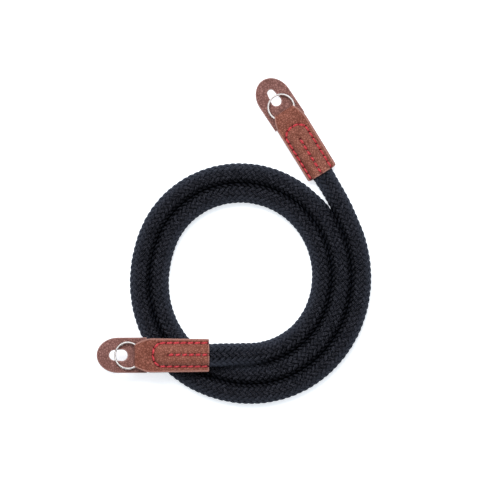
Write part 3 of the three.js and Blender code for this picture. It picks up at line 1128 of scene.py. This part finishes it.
@dataclass
class LugGuard:
    """A flat leather tongue with a slot, square where it lies under the leather end and round at its tip."""

    design: EndDesign
    length: float = 29.5 * MM
    width: float = 20.8 * MM
    tip: float = 12.6 * MM
    slot_length: float = 10.7 * MM
    bevel: float = 0.4 * MM
    lanes: int = 16
    step: float = 0.5 * MM
    tip_points: int = 70
    slot_circles: int = 33
    corner_points: int = 5
    edge_band: tuple[float, float] = (0.35 * MM, 0.85 * MM)

    def outline(self) -> Array:
        """The outer edge, anticlockwise: square end, straight sides and half an ellipse.

        Returns:
            Its points, from above.
        """
        half, straight = self.width / 2, self.length - self.tip
        side = np.linspace(0, straight, round(straight / self.step), endpoint=False)
        turn = np.linspace(-math.pi / 2, math.pi / 2, self.tip_points)
        back = np.linspace(half, -half, round(self.width / self.step), endpoint=False)
        lower = np.stack([side, np.full_like(side, -half)], -1)
        round_tip = np.stack([straight + self.tip * np.cos(turn), half * np.sin(turn)], -1)
        upper = np.stack([side[::-1][:-1], np.full_like(side[1:], half)], -1)
        square = np.stack([np.zeros_like(back), back], -1)
        return np.concatenate([lower, round_tip, upper, square])

    def slot_edge(self, outline: Array) -> Array:
        """Where the line from the slot's middle to each outline point leaves the slot.

        The slot is what a circle covers that moves along the middle and narrows towards the tip. The line
        leaves it at the furthest place where it leaves the circle on its way.

        Args:
            outline: The guard's outer edge.

        Returns:
            One point for each of the outline's.
        """
        d = self.design
        centre = d.ring_centre + d.ring_radius - d.slot_inset - d.guard_start
        way = unit(outline - [centre, 0.0])
        share = np.linspace(0, 1, self.slot_circles)
        wide, narrow = d.slot_radii
        radius = mix(wide, narrow, share)
        middle = mix(wide - self.slot_length / 2, self.slot_length / 2 - narrow, share)
        within = radius**2 - (middle * way[:, 1:]) ** 2
        reach = np.where(within > 0, middle * way[:, :1] + np.sqrt(np.maximum(within, 0)), 0).max(1)
        return np.stack([centre + way[:, 0] * reach, way[:, 1] * reach], -1)

    def slab(self) -> Sheet:
        """The tongue, whose rows go once round the slot.

        Each row is a closed section from the slot's edge to the outline and back below, rounded at its four
        corners.

        Returns:
            The closed tongue, with the values of its cut edges.
        """
        d = self.design
        outline = self.outline()
        slot = self.slot_edge(outline)
        quarter = np.linspace(0, math.pi / 2, self.corner_points)
        b, t = self.bevel, d.guard_thickness
        from_slot = np.concatenate([b * (1 - np.sin(quarter)), b * (1 - np.cos(quarter))])
        slot_z = np.concatenate([b * (1 - np.cos(quarter)), t - b * (1 - np.sin(quarter))])
        lanes = np.linspace(0, 1, self.lanes)[1:-1]
        near, far = np.zeros_like(from_slot), np.ones_like(from_slot)
        share = np.concatenate([near, lanes, far, lanes[::-1]])
        inset = np.concatenate([from_slot, b * (1 - 2 * lanes), -from_slot[::-1], -b * (1 - 2 * lanes)])
        z = np.concatenate([slot_z, np.full_like(lanes, t), slot_z[::-1], np.zeros_like(lanes)])
        way = outline - slot
        flat = slot[:, None] + way[:, None] * share[:, None] + unit(way)[:, None] * inset[:, None]
        points = np.concatenate([flat, np.broadcast_to(z[:, None], (*flat.shape[:2], 1))], -1)
        span = np.linalg.norm(way, axis=1)[:, None]
        to_edge = np.minimum(share * span + inset, (1 - share) * span - inset)
        edge = 1 - smooth_step(to_edge, *self.edge_band)
        place = d.place.inside(np.array([d.guard_start, 0.0, 0.0]), turn_z(d.guard_turn))
        return Sheet(place.put(points), Cap.JOINED, values={"edge": edge, "hole": np.zeros_like(edge)})

    def build(self, finish: "LeatherFinish") -> None:
        """Makes the guard.

        Args:
            finish: Finish of the leather.
        """
        end, hide = self.design.name.value, finish.material()
        make_piece(f"guard_{end}", [self.slab()], hide, replaces=f"lug_guard_{end}")


# ---- finishes ----


@dataclass
class Wiring:
    """Adds nodes to a tree and links them."""

    tree: Tree

    def add(self, kind: str, inputs: dict[str | int, object] | None = None, **settings: object) -> Node:
        """One node, with its settings and with its inputs set or linked.

        Args:
            kind: The node's type, without its ShaderNode prefix.
            inputs: A value or a socket for each input, by name or number.
            settings: The node's own properties.

        Returns:
            The node.
        """
        node = self.tree.nodes.new(kind if kind.startswith("Node") else f"ShaderNode{kind}")
        for key, value in settings.items():
            setattr(node, key, value)
        for key, value in (inputs or {}).items():
            if isinstance(value, Socket):
                self.tree.links.new(value, node.inputs[key])
            else:
                node.inputs[key].default_value = value
        return node

    def group(self, name: str, fill: "Filling", values: dict[str, float]) -> Sockets:
        """Puts in a node group with its own values.

        Args:
            name: The group's name.
            fill: Adds the group's nodes when it is first made.
            values: Each of its inputs' values.

        Returns:
            Its outputs by name.
        """
        return self.add("Group", values, node_tree=node_group(name, values, fill)).outputs

    def feed(self, node: Node, sockets: Sockets) -> None:
        """Links each socket to the node's input of that name."""
        for key, socket in sockets.items():
            self.tree.links.new(socket, node.inputs[key])

    def own(self, name: str) -> Socket:
        """The piece's own value of that name."""
        return self.add("Attribute", attribute_name=name).outputs["Fac"]

    def noise(self, scale: "float | Socket", detail: float, roughness: float = 0.5) -> Node:
        """Noise that keeps its place on the piece.

        Args:
            scale: A number or a socket, in cells to a metre.
            detail: How many finer layers it has.
            roughness: How strong the finer layers are.

        Returns:
            The noise node.
        """
        where = self.add("TexCoord").outputs["Object"]
        inputs = {"Vector": where, "Scale": scale, "Detail": detail, "Roughness": roughness}
        return self.add("TexNoise", inputs)

    def bump(self, height: Socket, strength: float, distance: float) -> Socket:
        """A normal that follows a height."""
        return self.add("Bump", {"Height": height, "Strength": strength, "Distance": distance}).outputs[0]

    def spread(self, value: Socket, ends: tuple[float, float]) -> Socket:
        """The first of two numbers where value is 0 and the second where it is 1."""
        return self.add("MapRange", {0: value, 3: ends[0], 4: ends[1]}).outputs[0]

    def math(self, operation: str, *values: "float | Socket") -> Socket:
        """A Math node's result."""
        return self.add("Math", dict(enumerate(values)), operation=operation).outputs[0]

    def blend(self, share: Socket, first: "Colour | Socket", second: "Colour | Socket") -> Socket:
        """A colour between two."""
        return self.add("Mix", {0: share, 6: first, 7: second}, data_type="RGBA").outputs[2]

    def ramp(self, value: Socket, low: float, high: float) -> Socket:
        """0 where value is low and 1 where it is high, smooth between."""
        inputs = {0: value, 1: low, 2: high, 3: 0.0, 4: 1.0}
        return self.add("MapRange", inputs, interpolation_type="SMOOTHSTEP").outputs[0]


# What fills a group: given its wiring and its inputs, it returns its outputs by name.
Filling = Callable[[Wiring, Sockets], Sockets]


def node_group(name: str, inputs: dict[str, float], fill: "Filling") -> Tree:
    """A shader node group with float sockets, made once.

    Args:
        name: The group's name.
        inputs: Each input with its value to start from.
        fill: Adds the group's nodes.

    Returns:
        The group.
    """
    if name in bpy.data.node_groups:
        return bpy.data.node_groups[name]
    tree = bpy.data.node_groups.new(name, "ShaderNodeTree")
    for key, value in inputs.items():
        tree.interface.new_socket(key, in_out="INPUT", socket_type="NodeSocketFloat").default_value = value
    wiring = Wiring(tree)
    given = wiring.add("NodeGroupInput")
    outputs = fill(wiring, {key: given.outputs[key] for key in inputs})
    for key in outputs:
        tree.interface.new_socket(key, in_out="OUTPUT", socket_type="NodeSocketFloat")
    wiring.feed(wiring.add("NodeGroupOutput"), outputs)
    return tree


def pebbled_hide(w: Wiring, given: Sockets) -> Sockets:
    """Pebbled hide: rounded cells with fine creases between them, and broad patches of wear.

    Args:
        w: The group's wiring.
        given: Its inputs.

    Returns:
        Height and crease of the pebbles, the patches, and a tone for each pebble.
    """
    where = w.add("TexCoord").outputs["Object"]
    wobble = w.noise(900.0, 3.0).outputs["Color"]
    nudged = w.add("VectorMath", {0: wobble, "Scale": 0.0007}, operation="SCALE").outputs[0]
    moved = w.add("VectorMath", {0: where, 1: nudged}, operation="ADD").outputs[0]
    grid = {"Vector": moved, "Scale": given["Pebbles per metre"]}
    cells = w.add("TexVoronoi", grid, feature="DISTANCE_TO_EDGE")
    pebble = w.ramp(cells.outputs["Distance"], 0.0, 0.2)
    each = w.add("TexVoronoi", grid).outputs["Color"]
    return {
        "Height": w.math("MULTIPLY_ADD", w.noise(4200.0, 2.0).outputs["Fac"], 0.35, pebble),
        "Crease": w.math("SUBTRACT", 1.0, pebble),
        "Patch": w.ramp(w.noise(160.0, 4.0, 0.6).outputs["Fac"], 0.35, 0.68),
        "Tone": w.add("SeparateXYZ", {0: each}).outputs["X"],
    }


def raw_edge(w: Wiring, given: Sockets) -> Sockets:
    """Raw cut edge: the piece's own edge value, frayed by fibres.

    Args:
        w: The group's wiring.
        given: Its inputs.

    Returns:
        The edge's mask and its fibres.
    """
    fray = w.noise(1500.0, 3.0).outputs["Fac"]
    ragged = w.math("MULTIPLY_ADD", w.math("SUBTRACT", fray, 0.5), given["Fray"], w.own("edge"))
    return {"Mask": w.ramp(ragged, 0.4, 0.75), "Fibre": fray}


def spun_yarn(w: Wiring, given: Sockets) -> Sockets:
    """Yarn: fine filaments that run along a strand at a slant, with loose hairs in between.

    Args:
        w: The group's wiring.
        given: Its inputs.

    Returns:
        The filaments' height and how pale they are.
    """
    parts = w.add("SeparateXYZ", {0: w.add("UVMap", uv_map="surface").outputs["UV"]})
    across = w.math("MULTIPLY", parts.outputs["X"], given["Filaments"])
    phase = w.math("MULTIPLY_ADD", parts.outputs["Y"], given["Slant"], across)
    wave = w.math("SINE", w.math("MULTIPLY", phase, 2 * math.pi))
    fuzz = w.noise(given["Fuzz"], 4.0).outputs["Fac"]
    shade = w.ramp(w.math("MULTIPLY_ADD", wave, 0.12, fuzz), 0.35, 0.7)
    return {"Height": w.math("MULTIPLY_ADD", wave, 0.3, fuzz), "Shade": shade}


@dataclass(frozen=True)
class Finish:
    """What every finish shares: a name and a way to start its material."""

    name: str

    def start(self, **fixed: object) -> tuple[Wiring, Node, Material]:
        """An empty material with its shader.

        Args:
            fixed: The shader's even values, by their sockets' names in small letters.

        Returns:
            The material's wiring, its shader and the material.
        """
        material = bpy.data.materials.new(self.name)
        material.use_nodes = True
        material.node_tree.nodes.clear()
        w = Wiring(material.node_tree)
        inputs = {key.replace("_", " ").title().replace("Ior", "IOR"): value for key, value in fixed.items()}
        shader = w.add("BsdfPrincipled", inputs)
        w.add("OutputMaterial", {"Surface": shader.outputs["BSDF"]})
        return w, shader, material

    def material(self) -> Material:
        """The finish's material, made once."""
        return bpy.data.materials.get(self.name) or self.make()

    def make(self) -> Material:
        """Builds the material."""
        raise NotImplementedError


@dataclass(frozen=True)
class LeatherFinish(Finish):
    """Pebbled leather with darker creases, paler patches, raw edges, needle holes darkened by painted shade,
    and a painted highlight on the bulge.
    """

    base: Colour
    # worn is the colour of paler patches and pebble tones, and also of the painted highlight on the bulge.
    worn: Colour
    crease: Colour
    cut: Colour
    # Near-black painted shade in the needle holes.
    hole: Colour
    pebbles: float
    roughness: tuple[float, float]
    relief: float
    specular: float = 0.35
    fray: float = 0.5
    tone_share: float = 0.6
    patch_share: float = 0.4
    painted_highlight_share: float = 0.35
    crease_share: float = 0.8
    edge_roughness: float = 0.9
    hole_shade_from: tuple[float, float] = (0.15, 0.6)
    bump_strength: float = 0.55

    def make(self) -> Material:
        """Colours are laid base, patch and painted highlight, crease, cut edge, painted shade in the holes;
        the grain is bump and roughness.

        Returns:
            The material.
        """
        w, shader, material = self.start(specular_ior_level=self.specular)
        grain = w.group("pebbled_hide", pebbled_hide, {"Pebbles per metre": self.pebbles})
        edge = w.group("cut_edge", raw_edge, {"Fray": self.fray})
        patches = w.math("MULTIPLY", grain["Patch"], self.patch_share)
        worn = w.math("MULTIPLY_ADD", grain["Tone"], self.tone_share, patches)
        # Painted highlight: the end's raised bulge is made paler.
        worn = w.math("MULTIPLY_ADD", w.own("worn"), self.painted_highlight_share, worn)
        colour = w.blend(worn, self.base, self.worn)
        colour = w.blend(w.math("MULTIPLY", grain["Crease"], self.crease_share), colour, self.crease)
        colour = w.blend(edge["Mask"], colour, w.blend(edge["Fibre"], self.cut, self.worn))
        # Painted shade: needle holes are darkened.
        colour = w.blend(w.ramp(w.own("hole"), *self.hole_shade_from), colour, self.hole)
        cut_rough = w.math("MULTIPLY", edge["Mask"], self.edge_roughness)
        rough = w.math("MAXIMUM", w.spread(grain["Crease"], self.roughness), cut_rough)
        bump = w.bump(grain["Height"], self.bump_strength, self.relief)
        w.feed(shader, {"Base Color": colour, "Roughness": rough, "Normal": bump})
        return material


@dataclass(frozen=True)
class FibreFinish(Finish):
    """Yarn or thread, with filaments along it."""

    deep: Colour
    pale: Colour
    roughness: float
    filaments: float
    slant: float
    fuzz: float
    relief: float
    sheen: float
    specular: float
    # Depths over which painted shade darkens the colour to deep.
    shade_depths: tuple[float, float] | None = None
    # Colour of the painted sheen on free sides.
    fluff: Colour | None = None
    sheen_roughness: float = 0.35
    sheen_tint: Colour = (0.5, 0.62, 1.0, 1.0)
    tint_share: float = 0.35
    bump_strength: float = 0.6

    def make(self) -> Material:
        """The colour goes from deep to pale with the filaments; painted shade makes it deeper where a strand
        dives and in the groove between turns, and painted sheen makes free sides paler.

        Returns:
            The material.
        """
        w, shader, material = self.start(
            roughness=self.roughness,
            sheen_weight=self.sheen,
            sheen_roughness=self.sheen_roughness,
            sheen_tint=self.sheen_tint,
            specular_ior_level=self.specular,
        )
        values = {"Filaments": self.filaments, "Slant": self.slant, "Fuzz": self.fuzz}
        yarn = w.group("yarn", spun_yarn, values)
        share = yarn["Shade"]
        # Painted shade: darker where a strand dives and in the groove between turns.
        if self.shade_depths:
            tint = w.math("MULTIPLY_ADD", w.own("tint"), self.tint_share, 1.0 - self.tint_share)
            share = w.math("MULTIPLY", share, tint)
            share = w.math("MULTIPLY", share, w.math("SUBTRACT", 1.0, w.ramp(w.own("depth"), *self.shade_depths)))
        colour = w.blend(share, self.deep, self.pale)
        # Painted sheen: free sides paler and bluer.
        if self.fluff:
            colour = w.blend(w.own("fluff"), colour, self.fluff)
        bump = w.bump(yarn["Height"], self.bump_strength, self.relief)
        w.feed(shader, {"Base Color": colour, "Normal": bump})
        return material


@dataclass(frozen=True)
class WireFinish(Finish):
    """Polished plated wire with faint drawing marks."""

    bright: Colour
    dull: Colour
    roughness: tuple[float, float]
    relief: float = 0.00005
    bump_strength: float = 0.15

    def make(self) -> Material:
        """Marks change the colour a little and the roughness between its two values.

        Returns:
            The material.
        """
        w, shader, material = self.start(metallic=1.0)
        marks = w.noise(700.0, 5.0, 0.65).outputs["Fac"]
        worn = w.ramp(marks, 0.4, 0.75)
        colour, rough = w.blend(worn, self.bright, self.dull), w.spread(worn, self.roughness)
        bump = w.bump(marks, self.bump_strength, self.relief)
        w.feed(shader, {"Base Color": colour, "Roughness": rough, "Normal": bump})
        return material


@dataclass(frozen=True)
class FloorFinish(Finish):
    """Plain pale paper."""

    paper: Colour
    glow: float
    grain_share: float = 0.985

    def make(self) -> Material:
        """One matt white with the faintest grain.

        Returns:
            The material.
        """
        w, shader, material = self.start(roughness=0.9, specular_ior_level=0.1, emission_strength=self.glow)
        soft = tuple(self.grain_share * c for c in self.paper[:3]) + (1.0,)
        white = w.blend(w.noise(90.0, 2.0).outputs["Fac"], self.paper, soft)
        w.feed(shader, {"Base Color": white, "Emission Color": white})
        return material


BLACK_YARN = FibreFinish(
    "black_yarn",
    deep=(0.0008, 0.0009, 0.0014, 1),
    pale=(0.05, 0.052, 0.067, 1),
    roughness=0.7,
    filaments=5.0,
    slant=0.25,
    fuzz=1500.0,
    relief=0.00008,
    sheen=0.05,
    specular=0.02,
    # Painted shade by depth, and the colour of the painted sheen on free sides.
    shade_depths=(0.35, 1.05),
    fluff=(0.06, 0.07, 0.097, 1),
)
BLACK_CORE = FibreFinish(
    "black_core",
    deep=(0.001, 0.001, 0.0014, 1),
    pale=(0.003, 0.003, 0.004, 1),
    roughness=0.9,
    filaments=30.0,
    slant=0.5,
    fuzz=1200.0,
    relief=0.0001,
    sheen=0.0,
    specular=0.0,
)
RED_THREAD = FibreFinish(
    "red_thread",
    deep=(0.36, 0.018, 0.025, 1),
    pale=(0.88, 0.1, 0.125, 1),
    roughness=0.5,
    filaments=1.0,
    slant=11.0,
    fuzz=1500.0,
    relief=0.00016,
    sheen=0.1,
    specular=0.35,
)
END_LEATHER = LeatherFinish(
    "pebbled_end_hide",
    base=(0.22, 0.064, 0.04, 1),
    worn=(0.395, 0.147, 0.104, 1),
    crease=(0.12, 0.032, 0.02, 1),
    cut=(0.36, 0.22, 0.2, 1),
    hole=(0.1, 0.009, 0.011, 1),
    pebbles=760.0,
    roughness=(0.46, 0.72),
    relief=0.0003,
)
GUARD_LEATHER = LeatherFinish(
    "pebbled_guard_hide",
    base=(0.22, 0.094, 0.08, 1),
    worn=(0.37, 0.182, 0.16, 1),
    crease=(0.12, 0.047, 0.04, 1),
    cut=(0.36, 0.24, 0.22, 1),
    hole=(0.045, 0.008, 0.008, 1),
    pebbles=720.0,
    roughness=(0.55, 0.78),
    relief=0.00032,
)
BRIGHT_WIRE = WireFinish("bright_wire", (0.95, 0.91, 0.9, 1), (0.66, 0.62, 0.6, 1), (0.12, 0.3))
WHITE_PAPER = FloorFinish("white_paper", (0.88, 0.92, 0.96, 1), 0.64)


# ---- stage ----


def stand(name: str, data: bpy.types.ID, place: tuple[float, float, float]) -> bpy.types.Object:
    """Links an object of the stage at its place.

    Args:
        name: Its name.
        data: Its lamp, camera or mesh.
        place: Where it stands.

    Returns:
        The object.
    """
    thing = bpy.data.objects.new(name, data)
    thing.location = place
    bpy.context.scene.collection.objects.link(thing)
    return thing


@dataclass(frozen=True)
class Lamp:
    """A square soft light that faces the strap.

    Attributes:
        name: Its name.
        place: Where it hangs.
        size: Length of its side.
        power: In watts.
        mirrored: Whether shiny parts mirror it.
    """

    name: str
    place: tuple[float, float, float]
    size: float
    power: float
    mirrored: bool = True

    def hang(self) -> None:
        """Makes the lamp and turns it towards the strap."""
        data = bpy.data.lights.new(self.name, "AREA")
        data.size = self.size
        data.energy = self.power
        lamp = stand(self.name, data, self.place)
        lamp.visible_glossy = self.mirrored
        lamp.rotation_euler = Vector(self.place).to_track_quat("Z", "Y").to_euler()


@dataclass
class Studio:
    """White table, soft overhead light and a camera that looks straight down.

    Attributes:
        centre: The coil's centre.
        image_shift: From the coil's centre to the picture's, in pixels.
    """

    centre: Array
    millimetres_a_pixel: float = 0.59
    pixels: int = 500
    distance: float = 1.6
    sensor: float = 36.0
    rope_middle: float = 5.75 * MM
    image_shift: tuple[float, float] = (8.0, 27.0)
    sight: float = 20.0
    floor_half: float = 3.0
    floor_gap: float = 0.05 * MM
    sky: float = 0.2
    lamps: tuple[Lamp, ...] = (
        Lamp("overhead_panel", (-0.1, 0.7, 1.9), size=3.0, power=28.5),
        Lamp("key", (-0.25, 0.9, 1.75), size=0.9, power=25.0, mirrored=False),
    )

    def camera(self) -> None:
        """Puts the photograph's frame over the coil, at the scale of the rope's middle."""
        data = bpy.data.cameras.new("overhead")
        data.sensor_width = self.sensor
        data.lens = self.sensor * self.distance / (self.millimetres_a_pixel * MM * self.pixels)
        data.clip_end = self.sight
        shift = np.array(self.image_shift) * self.millimetres_a_pixel * MM
        place = (*(self.centre[:2] + shift), self.rope_middle + self.distance)
        bpy.context.scene.camera = stand("overhead", data, place)

    def floor(self) -> None:
        """A large flat sheet just under the strap."""
        h = self.floor_half
        mesh = bpy.data.meshes.new("table_top")
        mesh.from_pydata([(-h, -h, 0), (h, -h, 0), (h, h, 0), (-h, h, 0)], [], [(0, 1, 2, 3)])
        mesh.materials.append(WHITE_PAPER.material())
        floor = stand("table_top", mesh, (0.0, 0.0, -self.floor_gap))

    def build(self) -> None:
        """Camera, floor, lights and an even white sky."""
        self.camera()
        self.floor()
        for lamp in self.lamps:
            lamp.hang()
        world = bpy.data.worlds.new("white_sky")
        world.use_nodes = True
        background = world.node_tree.nodes["Background"]
        background.inputs["Color"].default_value = (1.0, 1.0, 1.0, 1.0)
        background.inputs["Strength"].default_value = self.sky
        bpy.context.scene.world = world
        bpy.context.scene.view_settings.view_transform = "Standard"


def end_designs(route: RopeRoute) -> dict[EndName, EndDesign]:
    """The two ends, in the coil's frame: the left one lies across the rope, the top one on the table.

    Args:
        route: The rope's route, which sets where their mouths are.

    Returns:
        The designs by end.
    """
    over_rope = route.diameter + EndDesign.fit_gap
    left = EndDesign(
        name=EndName.LEFT,
        width=20 * MM,
        heading=180.0,
        tilt=4.0,
        guard_turn=0.0,
        lies_on=over_rope,
        mouth_at=route.mouth(EndName.LEFT),
        lower_shift=0.1 * MM,
        seam_shift=-0.4 * MM,
        mouth_narrowing=0.8 * MM,
        slot_radii=(3.3 * MM, 3 * MM),
        slot_inset=1.2 * MM,
        ring_out=0.8 * MM,
        corner_round=0.3 * MM,
    )
    top = EndDesign(
        name=EndName.TOP,
        width=19 * MM,
        heading=121.6,
        tilt=0.0,
        guard_turn=2.0,
        lies_on=0.0,
        mouth_at=route.mouth(EndName.TOP),
        lower_shift=-0.4 * MM,
        seam_shift=0.5 * MM,
        mouth_narrowing=0.2 * MM,
        slot_radii=(3 * MM, 2.1 * MM),
        slot_inset=0.65 * MM,
        ring_out=-0.2 * MM,
        corner_round=1.5 * MM,
    )
    return {EndName.LEFT: left, EndName.TOP: top}


def main() -> None:
    """Camera and cord first, then each end from its leather to its guard."""
    logging.basicConfig(level=logging.INFO, format="%(name)s %(message)s")
    route = RopeRoute()
    ends = end_designs(route)
    rope = Rope(route, ends)
    Studio(rope.shift).build()
    rope.build(BLACK_CORE, BLACK_YARN)
    for design in ends.values():
        design.place.origin = design.place.origin + rope.shift
        LeatherEnd(design).build(END_LEATHER, RED_THREAD)
        SplitRing(design).build(BRIGHT_WIRE)
        LugGuard(design).build(GUARD_LEATHER)


if __name__ == "__main__":
    main()
